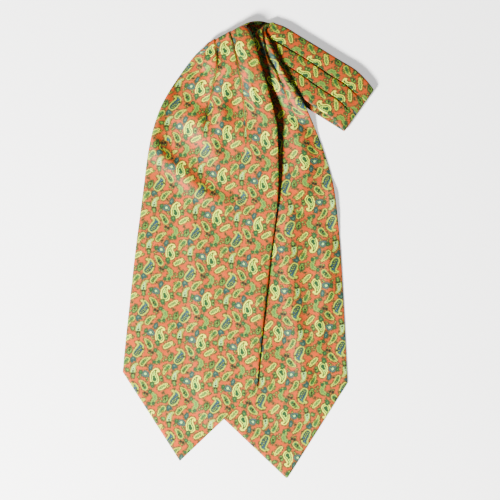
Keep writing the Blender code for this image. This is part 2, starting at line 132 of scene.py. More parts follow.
# front blade
frontCloth = {
    "rows": [
        Row(-47, 222.2, 2.5, 240.4, 1, 5.4, 12.4),
        Row(-58.8, 212.5, 7, 226.5, 1, 3, 13.6),
        Row(-73, 194, 12.5, 208, 0.80, 0.6, 14.6),
        Row(-86, 174.5, 18.5, 187.5, 0.55, 0, 14),
        Row(-97, 153.5, 25.5, 163.5, 0.30, 0, 11.4),
        Row(-105.5, 128, 31.8, 136, 0.10, 0, 8.8),
        Row(-111, 101, 33.3, 106, 0, 0, 6.4),
        Row(-115, 70, 33.6, 73, 0, 0, 4.4),
        Row(-119, 39, 31.5, 40, 0, 0, 3.2),
        Row(-124.8, -6, 25.4, -8, 0, 0, 0),
        Row(-130, -54, 19.5, -60, 0, 0, 0),
        Row(-134.6, -96, 14.6, -106, 0, 0, 0),
        Row(-138.3, -135.3, 10.4, -151.8, 0, 0, 0),
    ],
    "tip": (-76, -233.6),
    "tipAt": 0.505,                       # share across that runs to the tip
    "crest": Crest(-43.2, 224.4, 4.4, 0.8, 248.4, 8.6),
    "folds": [                            # the pillow, and a small ridge beside it
        [
            Fold(-80, 152, 14, 2), Fold(-67, 147, 16, 5.6), Fold(-54, 137, 16, 8),
            Fold(-44, 122, 14, 7.4), Fold(-37, 106, 13, 4.6), Fold(-28, 90, 12, 0),
        ],
        [Fold(-34, 160, 12, 0), Fold(-25, 145, 13, 2.8), Fold(-14, 124, 12, 2.6), Fold(-8, 102, 11, 0)],
    ],
    "rolled": [                           # the edge stands up here, then runs on as a ridge
        [
            Fold(-79, 186, 7, 1), Fold(-90, 168, 8, 6.6), Fold(-100, 148, 9.5, 7.4),
            Fold(-106, 127, 11, 6.6), Fold(-101, 110, 11, 5.4), Fold(-90, 98, 10, 4.4),
            Fold(-70, 80, 10, 3.8), Fold(-49, 62, 10, 3.4), Fold(-35, 54, 9, 2.2), Fold(-20, 48, 8, 0),
        ],
    ],
    "creases": [                          # neck ridges, then short troughs, then faint waves lower down
        [
            Fold(-46, 214, 3.6, 0), Fold(-49, 198, 4.4, 2.6), Fold(-54, 180, 5, 2.8),
            Fold(-59, 162, 5.5, 0),
        ],
        [
            Fold(-34, 216, 4.6, 0), Fold(-37, 198, 6.6, 3.8), Fold(-40, 178, 7.4, 3.4),
            Fold(-43, 156, 7.6, 0),
        ],
        [
            Fold(-18, 212, 4.4, 0), Fold(-21, 194, 6, 3.4), Fold(-25, 172, 7.4, 4.6),
            Fold(-29, 150, 8.4, 5.8), Fold(-31, 132, 9, 4.2), Fold(-32, 116, 9, 0),
        ],
        [Fold(-3.4, 222, 4, 0.8), Fold(2, 192, 5, 1.6), Fold(9.5, 168, 6, 1.4), Fold(14, 140, 7, 0)],
        [
            Fold(-66, 190, 12, 0), Fold(-50, 198, 13, -2), Fold(-30, 205, 13, -2.2),
            Fold(-10, 211, 12, -1.2),
        ],
        [Fold(-9, 118, 5, 0), Fold(-6, 106, 5, -1.2), Fold(-4, 94, 6, 0)],
        [Fold(-20, 66, 6, 0), Fold(-12, 57, 6, -1.4), Fold(2, 50, 7, 0)],
        [Fold(-100, 128, 6, 0), Fold(-92, 117, 7, -1.6), Fold(-85, 105, 7, -1.2), Fold(-72, 92, 8, 0)],
        [Fold(-58, 80, 7, 0), Fold(-43, 70, 8, -1.3), Fold(-30, 62, 8, 0)],
        [Fold(-62, 20, 14, 0), Fold(-66, -40, 15, -0.5), Fold(-70, -100, 14, 0)],
        [Fold(-104, 30, 12, 0), Fold(-112, -40, 14, 0.5), Fold(-116, -100, 12, 0)],
        [Fold(17, 24, 14, 0), Fold(12, -56, 17, 1.5), Fold(0, -134, 14, 0)],
    ],
    "tucks": [                            # the pleats running out of the band, and a short one by the edge
        [
            Tuck(-40.8, 241.1, -31.9, 2.2, 1.2), Tuck(-38, 231.8, -31.9, 2.2, 1.2),
            Tuck(-34.2, 222.4, -31.9, 2.4, 1.2), Tuck(-33.5, 201.5, -26.4, 2.9, 1.2),
            Tuck(-36, 189, -22, 3.5, 1.2), Tuck(-39.1, 176.2, -17.8, 4.2, 1.3),
            Tuck(-45.2, 149.8, -8.8, 6, 1.2), Tuck(-49.6, 126.7, -3.3, 8.5, 0.6),
            Tuck(-55.1, 98.1, 0, 13.2, 0),
        ],
        [
            Tuck(-18.8, 247.7, 29.7, 2.2, 1.3), Tuck(-17.7, 234.5, 29.7, 2.2, 1.3),
            Tuck(-14.9, 219.1, 29.7, 2.4, 1.3), Tuck(-11.1, 201.5, 26.4, 3.1, 1.1),
            Tuck(-7.8, 186.1, 22, 4, 1), Tuck(-5.6, 169.6, 17.1, 5.5, 0.9),
            Tuck(-3.4, 149.8, 9.9, 8.8, 0.8), Tuck(-2.3, 126.7, 5, 11, 0.4),
            Tuck(-2.3, 92.6, 0, 13.2, 0),
        ],
        [
            Tuck(1.8, 191.6, 0, 2.2, 0), Tuck(2.7, 183.9, 0, 2.8, 0.9), Tuck(9.4, 171.3, 0, 3.3, 1.2),
            Tuck(8.2, 156.4, 0, 3.9, 0.9), Tuck(4.3, 138.8, 0, 4.4, 0),
        ],
    ],
    "phase": {"x": -46, "y": -56.8, "across": (0.992, -0.126), "up": (0.126, 0.992), "skew": 0.0487},
    "drift": [(250, 20.5), (222.4, 14.9), (174.5, 5.5), (126.6, 0.1), (90, 0)],   # y, mm
    "upScale": (1.02, -0.085),
}

# back blade
backCloth = {
    "rows": [
        Row(-30, 203, 19.2, 236.7, 1, 0, 0),
        Row(-37.5, 180, 31.5, 213, 0.95, 0, 0),
        Row(-45.5, 155, 44, 189, 0.75, 0, 0),
        Row(-53.5, 128, 59.5, 164, 0.45, 0, 0),
        Row(-58.5, 99, 73.5, 134, 0.20, 0, 0),
        Row(-60.5, 70, 85.5, 102, 0.05, 0, 0),
        Row(-59, 40, 94.6, 68, 0, 0, 0),
        Row(-55.5, -4, 100.3, 20, 0, 0, 0),
        Row(-51.5, -51, 103.8, -28, 0, 0, 0),
        Row(-48, -110.5, 107, -88, 0, 0, 0),
        Row(-45.7, -169.3, 109.7, -147.2, 0, 0, 0),
    ],
    "tip": (42.8, -253.2),
    "tipAt": 0.50,
    "crest": Crest(-36.6, 206, 7.3, 22, 246.4, 7.3),
    "folds": [                            # a long ridge down the blade, and one nearer its edge
        [
            Fold(48, 146, 10, 0), Fold(54, 132, 11, 2.8), Fold(60, 110, 11, 3.8), Fold(63, 84, 11, 2.6),
            Fold(56, 62, 11, 1.6), Fold(47, 42, 11, 2.6), Fold(46, 10, 11, 1.8), Fold(46, -24, 11, 2.4),
            Fold(48, -62, 11, 3), Fold(58, -106, 11, 3), Fold(62, -146, 11, 2.6),
            Fold(42, -176, 11, 2.4), Fold(34, -206, 11, 0),
        ],
        [
            Fold(84, 30, 9, 0), Fold(87, -4, 9, 2.2), Fold(88, -50, 9, 2.4), Fold(78, -80, 9, 2),
            Fold(75, -112, 9, 1.6), Fold(76, -130, 9, 0),
        ],
    ],
    "rolled": [
        [Fold(90, 78, 8, 0), Fold(97, 60, 9, 2.6), Fold(100.5, 38, 9, 2), Fold(101.5, 14, 8, 0)],
    ],
    "creases": [
        [
            Fold(17, 240, 3, 1.2), Fold(31, 208, 3.6, 2.2), Fold(42, 186, 4.2, 2),
            Fold(53, 164, 5, 1.2), Fold(62, 146, 6, 0),
        ],
        [Fold(46, 30, 6, 0), Fold(55, 42, 6, -1.3), Fold(62, 50, 6, 0)],
        [Fold(60, -160, 8, 0), Fold(48, -178, 9, -1), Fold(22, -210, 9, 0)],
    ],
    "tucks": [                            # one that shows, and one under the front blade
        [
            Tuck(15.3, 249.9, 15.4, 2, 2.2), Tuck(16.4, 232.3, 15.4, 2, 2.2),
            Tuck(19.7, 216.9, 14.3, 2, 2.2), Tuck(22.7, 208.1, 13.2, 2.2, 2.1),
            Tuck(30.4, 195.5, 11, 2.4, 1.8), Tuck(34.6, 185, 8.8, 2.9, 1.4),
            Tuck(38.4, 178.4, 7.7, 3.3, 1.1), Tuck(48.3, 158.6, 3.3, 6.6, 0.5),
            Tuck(57.1, 131.1, 0, 8.8, 0),
        ],
        [
            Tuck(-8, 232, 0, 2.4, 2), Tuck(-10, 196, 0, 3.4, 1.6), Tuck(-14, 150, 0, 6, 0.6),
            Tuck(-16, 120, 0, 9, 0),
        ],
    ],
    "phase": {"x": 75.7, "y": -40.4, "across": (-0.997, -0.078), "up": (0.078, -0.997), "skew": -0.0551},
    "drift": [(250, -56), (217, -44.5), (185, -30.6), (146.5, -12.8), (99.3, -2.5), (50, 0)],
    "upScale": (1, 0),
}

# neckband
bandCloth = {
    "upper": [
        Row(-31, 204, 30, 248.6, 1, 0, 0),
        Row(-6, 204.5, 42, 244.2, 1, 0, 0),
        Row(20, 193, 57, 235, 1, 0, 0),
        Row(45, 177.5, 79, 221.8, 1, 0, 0),
        Row(69, 159.5, 101, 208.3, 1, 0, 0),
        Row(88, 146.8, 119, 197.2, 1, 0, 0),
        Row(102.6, 133.6, 132.8, 183.4, 0.6, 0, 0),
    ],
    "lower": [
        Row(-40, 217, 19, 250.6, 0, 0, 0),
        Row(-6, 206, 38, 244, 0, 0, 0),
        Row(28, 184, 62, 229.5, 0, 0, 0),
        Row(60.9, 158.4, 94, 210, 0, 0, 0),
        Row(83.5, 143.6, 116, 196, 0, 0, 0),
        Row(102, 132, 132.8, 182.8, 0, 0, 0),
    ],
    "crest": Crest(105.1, 130.4, 3.2, 138.1, 176.2, 3.2),
    "width": 59,
    "pleats": (0.365, 0.675),             # shares across where one strip laps over the next
    "underlap": 0.055,
    "step": 1.5,                          # how far a strip stands above the next
    "bulge": 0.35,
    "dip": 1.1,                           # how far it dips just before it goes under
    "dipFrom": 0.038,
    "softEdge": 2.2,
    "columnPhase": (4.9, 1, 0.6),       # cream paisley's place in each strip, mm above its fold
    "rowPhase": (18.6, 26.3, 29.3),       # and along the band from the apex
}


def bandOutline():
    rows = bandCloth["upper"]
    return [(s.leftX, s.leftY) for s in rows] + [(s.rightX, s.rightY) for s in reversed(rows)]


def backOutline():
    crest, rows = backCloth["crest"], backCloth["rows"]
    left = [(s.leftX, s.leftY) for s in rows]
    right = [(s.rightX, s.rightY) for s in reversed(rows)]
    topLeft = (crest.leftX - 2.0, crest.leftY + 1.5)
    topRight = (crest.rightX, crest.rightY + 1.5)
    return [topLeft, *left, backCloth["tip"], *right, topRight]


def wallAt(y):
    return bladeWall + (neckWall - bladeWall) * ease(neckStartsY, neckFullY, y)


def backRest(x, y):  # what the back blade lies on: the band, then the table
    beside = outlineDistance(bandOutline(), x, y)
    onBand = backNeckRest * (1.0 - ease(0.0, bandDrop, beside))
    offBand = ease(0.0, bandDrop, beside)
    inner = ease(-backFoldFade, 0.0, -(outlineDistance(backOutline(), x, y) + backFoldMargin))
    return onBand + softFolds(backCloth["folds"], x, y) * offBand * inner


def frontRest(x, y):  # the back blade, then the table
    over = backRest(x, y) + wallAt(y) + stripCrown * ease(neckStartsY, neckFullY, y)
    beside = outlineDistance(backOutline(), x, y) - edgeSetIn
    return (over + 2 * seamGap) * (1.0 - ease(0.0, bladeDrop, beside))


# cloth grids


def edgeShares(count):  # columns across a blade, closer together at its edges
    near = [0.0, 0.0012, 0.0032, 0.0064, 0.0105]
    middle = np.linspace(0.0165, 0.9835, count)
    return np.concatenate([near, middle, 1.0 - np.array(near[::-1])])


def gridNormals(points):
    down = np.gradient(points, axis=0)
    across = np.gradient(points, axis=1)
    normals = np.cross(down, across)
    return normals / np.maximum(np.linalg.norm(normals, axis=2, keepdims=True), 1e-9)


def alongRows(points, scale=1.0):  # mm of cloth from the first row to each place
    pace = np.linalg.norm(np.diff(points, axis=0), axis=2)
    return np.concatenate([np.zeros((1, points.shape[1])), np.cumsum(pace * scale, axis=0)])


def softened(points, first, last, rounds):  # takes the kink out of the turn, along the cloth only
    points = points.copy()
    for _ in range(rounds):
        inner = (points[first - 1:last - 1] + 2 * points[first:last] + points[first + 1:last + 1]) / 4
        points[first:last] = inner
    return points


def halfTurn(start, end, widest, angles):  # half an ellipse per column
    middle = (start + end) / 2
    return [middle + (start - end) / 2 * math.cos(a) + (widest - middle) * math.sin(a) for a in angles]


def crestLine(crest, shares):
    left = np.array([crest.leftX, crest.leftY, crest.leftZ])
    right = np.array([crest.rightX, crest.rightY, crest.rightZ])
    return left + shares[:, None] * (right - left)


def roundOff(distance, reach):            # a small round edge, then a long soft one
    smallEdge, smallShare = 0.5, 0.34
    small = np.clip(distance / smallEdge, 0.0, 1.0)
    large = np.clip(distance / reach, 0.0, 1.0)
    rounded = smallShare * np.sqrt(1.0 - (1.0 - small) ** 2)
    return rounded + (1.0 - smallShare) * np.sqrt(1.0 - (1.0 - large) ** 2)


bladeForm = {                             # what both blades share
    "rows": 176,
    "evenTo": 0.982,                      # even rows down to here, then a few close ones at the tip
    "tipRows": (0.988, 0.9925, 0.996, 0.9985, 1.0),
    "tipFrom": 0.55,                      # from here the sides draw in towards the tip
    "tipLength": 0.45,
    "tipCurve": 1.6,
    "liftAcross": (0.15, 0.95),           # the neck lifts from left to right over these shares
    "foldsFade": (0.12, 0.10, 0.9),       # folds fade at the left edge, the right edge and the tip
    "crown": 0.55,
    "lapUp": (0.40, 2.0),                 # share of a tuck's depth, and reach in half widths
    "lapDown": (0.80, 1.7),
    "turnRows": 16,
    "turnSoft": (4, 6),                   # rows either side of the turn's end, and rounds
    "pressed": (4.5, 2.0),                # mm of soft edge, and more for a thicker wall
    "endPace": 0.8,
}


def bladeRow(cloth, shares, share):  # one row from above, its middle run on towards the tip
    rows, tipAt = cloth["rows"], cloth["tipAt"]
    cornerLeft, cornerRight = rowEnds(rows[-1])
    toTip = np.array(cloth["tip"]) - (cornerLeft + cornerRight) / 2
    row = rowAt(rows, share)
    left, right = rowEnds(row)
    towards = np.where(shares < tipAt, shares / tipAt, (1.0 - shares) / (1.0 - tipAt))
    down = max(0.0, (share - bladeForm["tipFrom"]) / bladeForm["tipLength"]) ** bladeForm["tipCurve"]
    return row, left + shares[:, None] * (right - left) + down * towards[:, None] * toTip


def bladeUnderside(cloth, row, line, shares, share, rest):
    x, y = line[:, 0], line[:, 1]
    liftLeft, liftRight = max(row.liftLeft, 0.0), max(row.liftRight, 0.0)
    lift = liftLeft + (liftRight - liftLeft) * ease(*bladeForm["liftAcross"], shares)
    height = (rest(x, y) ** 4 + lift ** 4) ** 0.25        # the higher of the two, blended
    if cloth is frontCloth:
        left, right, end = bladeForm["foldsFade"]
        inner = ease(0.0, left, shares) * ease(0.0, right, 1.0 - shares) * (1.0 - ease(end, 1.0, share))
        height = height + softFolds(cloth["folds"], x, y) * inner
    return height + softFolds(cloth["rolled"], x, y)


def tuckedCloth(cloth, x, y):  # relief of the tucks, and mm of cloth folded away before each place
    relief, hiddenCloth = np.zeros(x.shape), np.zeros(x.shape)
    up, upReach = bladeForm["lapUp"]
    down, downReach = bladeForm["lapDown"]
    for line in cloth["tucks"]:
        away, values = besideLine(line, x, y)
        hidden, halfWidth, depth = values[..., 0], values[..., 1], values[..., 2]
        lapWidth = 0.35 + 0.3 * np.maximum(halfWidth - 2.4, 0.0)
        drop = ease(-1.0, 1.0, away / lapWidth)           # the left side laps over the right
        relief += depth * (1.0 - drop) * up * np.exp(-((away / (upReach * halfWidth)) ** 2))
        relief -= depth * drop * down * np.exp(-((away / (downReach * halfWidth)) ** 2))
        step = ease(-1.0, 1.0, away / (0.12 * halfWidth))
        hiddenCloth += np.where(hidden > 0, hidden * step, hidden * (1.0 - step))
    return relief, hiddenCloth


def limpness(x, y):  # silk is never quite flat
    broad = 0.12 * np.sin(x * 0.11 + y * 0.031) * np.sin(y * 0.057 - x * 0.023)
    small = 0.07 * np.sin(x * 0.31 - y * 0.12 + 1.3) * np.sin(y * 0.17 + 0.7)
    return broad + small


def printAcross(cloth, x, y, hiddenCloth):
    phase = cloth["phase"]
    across = (x - phase["x"]) * phase["across"][0] + (y - phase["y"]) * phase["across"][1]
    across = across + np.interp(y, *np.array(sorted(cloth["drift"])).T)
    return across + hiddenCloth * (-1.0 if cloth is backCloth else 1.0)


def printUp(cloth, points, shares, across, known):  # counted along the cloth from a row where it is known
    phase = cloth["phase"]
    most, slant = cloth["upScale"]
    neckY, fullY = 70.0, 110.0
    scale = 1.0 + (most - 1.0 + slant * shares)[None] * ease(neckY, fullY, points[1:, :, 1])
    along = alongRows(points, scale)
    fromX, fromY = points[known, :, 0] - phase["x"], points[known, :, 1] - phase["y"]
    start = fromX * phase["up"][0] + fromY * phase["up"][1]
    sign = -1.0 if cloth is frontCloth else 1.0
    return along, start[None] + sign * (along - along[known]) + phase["skew"] * across


def bladeGrid(cloth, shares, rest, bandStart):
    form = bladeForm
    plan, under, gather = [], [], []
    for share in [*np.linspace(0.0, form["evenTo"], form["rows"]), *form["tipRows"]]:
        row, line = bladeRow(cloth, shares, share)
        plan.append(line)
        under.append(bladeUnderside(cloth, row, line, shares, share, rest))
        gather.append(np.full(len(shares), min(max(row.gather, 0.0), 1.0)))
    plan, under, gather = np.array(plan), np.array(under), np.array(gather)
    x, y = plan[..., 0], plan[..., 1]
    wall = wallAt(y)
    blade = np.dstack([x, y, under + wall / 2])

    tucks, hiddenCloth = tuckedCloth(cloth, x, y)
    crown = stripCrown * form["crown"] * gather * np.sin(math.pi * shares)[None]
    relief = crown + softFolds(cloth["creases"], x, y) + tucks + limpness(x, y)
    across = printAcross(cloth, x, y, hiddenCloth)

    # the turn at the top, from the band to the blade
    count = form["turnRows"]
    margin, rounds = form["turnSoft"]
    angles = np.linspace(0.0, math.pi, count)[:-1]
    turn = np.array(halfTurn(bandStart, blade[0], crestLine(cloth["crest"], shares), angles))
    points = softened(np.concatenate([turn, blade]), count - margin, count + margin, rounds)
    fade = ease(0.0, 1.0, np.linspace(0.0, 1.0, count)[:-1])[:, None]
    relief = np.concatenate([relief[0][None] * fade, relief])
    half = np.concatenate([bandWall / 2 + (wall[0][None] - bandWall) / 2 * fade, wall / 2])
    across = np.concatenate([np.repeat(across[:1], count - 1, axis=0), across])
    known = count - 1 + int(np.argmin(np.abs(y[:, len(shares) // 2] - cloth["phase"]["y"])))
    along, up = printUp(cloth, points, shares, across, known)

    # the pressed edges lie down on what is under them
    width = np.linalg.norm(points[:, -1] - points[:, 0], axis=1)[:, None]
    sideways = np.minimum(shares[None], 1.0 - shares[None]) * width
    endways = (along[-1] - along) * form["endPace"]
    least, more = form["pressed"]
    pressed = least + more * (half - bladeWall / 2)
    roll = roundOff(sideways, pressed) * roundOff(endways, pressed)
    onTable = np.concatenate([fade * np.ones((1, len(shares))), np.ones(wall.shape)])
    points[..., 2] -= half * (1.0 - roll) * onTable
    return {"points": points, "half": half * roll, "relief": relief * np.clip(roll, 0, 1),
            "across": across, "up": up}


def quads(table, turnedOver=False):  # the four corners of every face in a grid
    a, b, c, d = table[:-1, :-1], table[1:, :-1], table[1:, 1:], table[:-1, 1:]
    return np.stack([a, d, c, b] if turnedOver else [a, b, c, d], axis=-1)


def clothPiece(name, grid, material, closedEnd):  # a two-ply bag, joined along its edges
    points = grid["points"]
    normals = gridNormals(points)
    top = points + normals * (grid["half"] + grid["relief"])[..., None]
    bottom = points - normals * grid["half"][..., None]
    top[..., 2] = np.maximum(top[..., 2], 0.12)           # nothing goes through the table
    bottom[..., 2] = np.maximum(bottom[..., 2], 0.06)
    rows, columns = points.shape[:2]
    upper = np.arange(rows * columns).reshape(rows, columns)
    lower = upper + rows * columns
    lower[:, 0], lower[:, -1] = upper[:, 0], upper[:, -1]
    if closedEnd:
        lower[-1] = upper[-1]
    used = np.unique(np.concatenate([upper.ravel(), lower.ravel()]))
    order = np.full(2 * rows * columns, -1)
    order[used] = np.arange(len(used))
    corners = np.concatenate([top.reshape(-1, 3), bottom.reshape(-1, 3)])[used]
    corners = (corners + sheetShift) * mm
    topFaces = quads(order[upper]).reshape(-1, 4)
    lowFaces = quads(order[lower], turnedOver=True).reshape(-1, 4)
    mesh = bpy.data.meshes.new(name)
    mesh.from_pydata(corners.tolist(), [], np.concatenate([topFaces, lowFaces]).tolist())

    u, v = grid["across"] / repeat, grid["up"] / repeat
    wrapped = 2 * u[:, :1] - u                            # the print runs on round the left edge
    topUv = np.stack([quads(u), quads(v)], axis=-1)
    lowUv = np.stack([quads(wrapped, turnedOver=True), quads(v, turnedOver=True)], axis=-1)
    layer = mesh.uv_layers.new(name="cloth")
    layer.data.foreach_set("uv", np.concatenate([topUv.reshape(-1), lowUv.reshape(-1)]).astype("f"))
    mesh.materials.append(material)
    mesh.shade_smooth()
    cloth = bpy.data.objects.new(name, mesh)
    bpy.context.scene.collection.objects.link(cloth)
    ply = cloth.modifiers.new("ply", "SOLIDIFY")
    ply.thickness = plyThick * mm
    ply.offset = -1.0
    ply.use_rim = True
    print("cravat:", name, len(mesh.polygons), "faces")
    return cloth


def bandColumns():  # shares across the band, height of the pleats there, and which strip each belongs to
    a, b = bandCloth["pleats"]
    lap, step, dipFrom = bandCloth["underlap"], bandCloth["step"], bandCloth["dipFrom"]
    shares, heights, strips = [], [], []
    for strip, (start, end) in enumerate(((0.0, a), (a, b), (b, 1.0))):
        lowest, highest = strip == 0, strip == 2
        first = [0.0, 0.002, 0.006, 0.013, 0.022] if lowest else [0.004, 0.012]
        last = [0.978, 0.987, 0.994, 0.998, 1.0] if highest else []
        inner = list(np.linspace(start + 0.028, 0.97 if highest else end - 0.046, 12))
        if not highest:                   # dips to pass under the next strip
            inner += [end - before for before in (0.036, 0.028, 0.020, 0.012, 0.005)]
            inner += [end + 0.012, end + lap * 0.6, end + lap]
        for s in [*(f if lowest else start + f for f in first), *inner, *last]:
            shares.append(s)
            climb = 1.0 - (s - start) / (end + lap - start)
            bulge = bandCloth["bulge"] * math.sin(math.pi * min(max((s - start) / (end - start), 0.0), 1.0))
            dip = 0.0 if highest else bandCloth["dip"] * float(ease(end - dipFrom, end, s))
            heights.append(step * climb * (0.7 if lowest else 1.0) + bulge - dip)
            strips.append(strip)
        if not highest:                   # the cloth doubles back under the next strip
            back = (end + lap, end + lap * 0.5, end + 0.008, end - 0.004, end - 0.003)
            for s, height in zip(back, (0.22, 0.42, 0.62, 0.84, 1.04)):
                shares.append(s)
                heights.append(step * height)
                strips.append(strip + 1)
    return np.array(shares), np.array(heights), np.array(strips)


def bandLine(table, share, across, z):
    left, right = rowEnds(rowAt(table, share))
    return np.column_stack([left + across[:, None] * (right - left), np.full(len(across), z)])


def bandPath(shares, flat):  # rows out to the end fold, round it and back below, and how pleated they are
    points, gather = [], []
    for share in np.linspace(0.0, 1.0, 64):
        across = shares + (flat - shares) * ease(0.93, 1.0, share)
        points.append(bandLine(bandCloth["upper"], share, across, upperBandMiddle))
        gather.append(1.0 - 0.75 * float(ease(0.9, 1.0, share)))
    start, end = points[-1], bandLine(bandCloth["lower"], 1.0, flat, bandWall / 2)
    angles = np.linspace(0.0, math.pi, 14)[1:-1]
    points += halfTurn(start, end, crestLine(bandCloth["crest"], flat), angles)
    gather += [0.25 * (1.0 - angle / math.pi) for angle in angles]
    for share in np.linspace(1.0, 0.0, 40):
        points.append(bandLine(bandCloth["lower"], share, flat, bandWall / 2))
        gather.append(0.0)
    return softened(np.array(points), 60, 80, 3), np.array(gather)[:, None]


def bandPrint(points, shares, strips):  # each strip has its own phase, as pleats hide cloth between them
    known = 30
    apexX, apexY = 57.1, 235.6
    place = points[known]
    fromApex = (place[:, 0] - apexX) * 0.849 - (place[:, 1] - apexY) * 0.528
    along = alongRows(points)
    up = -(fromApex - np.array(bandCloth["rowPhase"])[strips])[None] - (along - along[known])
    edges = np.array([0.0, *bandCloth["pleats"]]) * bandCloth["width"]
    creamAt = edges + np.array(bandCloth["columnPhase"])
    across = (shares * bandCloth["width"] - creamAt[strips]) + (strips - 2) * repeat
    return np.repeat(across[None], len(points), axis=0), up


def bandGrid():
    shares, heights, strips = bandColumns()
    plain = np.maximum.accumulate(shares) + np.arange(len(shares)) * 2e-4
    plain = plain / plain[-1]
    flat = (plain - plain[0]) / (plain[-1] - plain[0])    # the same columns with the pleats let out
    points, gather = bandPath(shares, flat)
    across, up = bandPrint(points, shares, strips)
    width = np.linalg.norm(points[:, -1] - points[:, 0], axis=1)[:, None]
    half = np.full(across.shape, bandWall / 2)
    half = half * roundOff(np.minimum(flat, 1.0 - flat)[None] * width, bandCloth["softEdge"])
    relief = heights[None] * gather * np.clip(half / (bandWall / 2), 0, 1)
    return {"points": points, "half": half, "relief": relief, "across": across, "up": up}


# paisley print

printUnits = 41.9                         # units a repeat is drawn in, 1.1 mm each
ink = {
    "cream": (0.60, 0.62, 0.010),
    "straw": (0.32, 0.34, 0.012),
    "lime": (0.12, 0.21, 0.018),
    "green": (0.042, 0.13, 0.020),
    "forest": (0.012, 0.044, 0.014),
    "teal": (0.011, 0.036, 0.030),
    "sage": (0.040, 0.095, 0.056),
    "blue": (0.011, 0.030, 0.055),
    "mist": (0.050, 0.105, 0.110),
    "mint": (0.36, 0.56, 0.03),
    "pale": (0.27, 0.50, 0.13),
    "meadow": (0.13, 0.22, 0.02),
    "olive": (0.030, 0.036, 0.012),
    "umber": (0.014, 0.014, 0.006),
    "fleck": (0.15, 0.115, 0.022),
}
ground = [(0.34, (0.35, 0.031, 0.001)), (0.52, (0.41, 0.037, 0.001)), (0.68, (0.49, 0.046, 0.001))]

# how each kind of motif is inked: units outside its edge, colour, cover
inkBands = {
    "cream": [
        (-6, "forest", 1), (-2.6, "forest", 1), (-2.4, "mint", 1), (-1.85, "mint", 1),
        (-1.7, "forest", 1), (-1.1, "forest", 1), (-0.9, "cream", 1), (0.1, "cream", 1),
        (0.35, "olive", 1), (0.9, "olive", 0),
    ],
    "green": [
        (-6, "forest", 1), (-2, "forest", 1), (-1.6, "green", 1), (-0.9, "green", 1),
        (-0.6, "straw", 1), (-0.1, "straw", 1), (0.2, "olive", 0.8), (0.6, "olive", 0),
    ],
    "stem": [
        (-6, "lime", 1), (-1.9, "lime", 1), (-1.5, "green", 1), (-1.1, "green", 1), (-0.8, "meadow", 1),
        (-0.1, "meadow", 1), (0.2, "olive", 0.8), (0.6, "olive", 0),
    ],
    "large": [
        (-6, "blue", 1), (-3.6, "blue", 1), (-3.2, "mist", 1), (-2.8, "mist", 1), (-2.5, "blue", 1),
        (-1.8, "blue", 1), (-1.4, "green", 1), (-1, "lime", 1), (-0.7, "straw", 1), (-0.1, "straw", 1),
        (0.2, "olive", 0.9), (0.6, "olive", 0),
    ],
    "mint": [
        (-6, "forest", 1), (-2, "forest", 1), (-1.6, "pale", 1), (-1.2, "pale", 1), (-0.8, "meadow", 1),
        (-0.3, "straw", 1), (0, "meadow", 1), (0.3, "olive", 0.8), (0.7, "olive", 0),
    ],
    "gem": [
        (-6, "pale", 1), (-2, "pale", 1), (-1.6, "teal", 1), (-1.1, "teal", 1), (-0.8, "sage", 1),
        (-0.5, "sage", 1), (-0.2, "blue", 1), (0.4, "blue", 0.8), (0.9, "olive", 0),
    ],
    "bar": [
        (-6, "meadow", 1), (-1.7, "meadow", 1), (-1.4, "green", 1), (-1, "green", 1),
        (-0.7, "cream", 1), (-0.2, "straw", 1), (0.2, "olive", 0.8), (0.6, "olive", 0),
    ],
    "leaf": [
        (-6, "lime", 1), (-1.2, "lime", 1), (-0.7, "green", 1), (-0.2, "forest", 1),
        (0.3, "umber", 0.8), (0.8, "umber", 0),
    ],
    "darkLeaf": [
        (-6, "green", 1), (-1.4, "green", 1), (-0.8, "forest", 1), (0.1, "forest", 1),
        (0.4, "umber", 0.7), (0.8, "umber", 0),
    ],
    "sageLeaf": [
        (-6, "sage", 1), (-1.2, "sage", 1), (-0.8, "teal", 1), (0.1, "teal", 1), (0.5, "umber", 0.7),
        (0.9, "umber", 0),
    ],
    "darkDot": [(-6, "umber", 1), (-0.2, "umber", 1), (0.4, "umber", 0.7), (0.8, "umber", 0)],
    "paleDot": [
        (-6, "meadow", 1), (0, "meadow", 1), (0.3, "umber", 0.8), (0.8, "umber", 0.7),
        (1.2, "olive", 0),
    ],
}

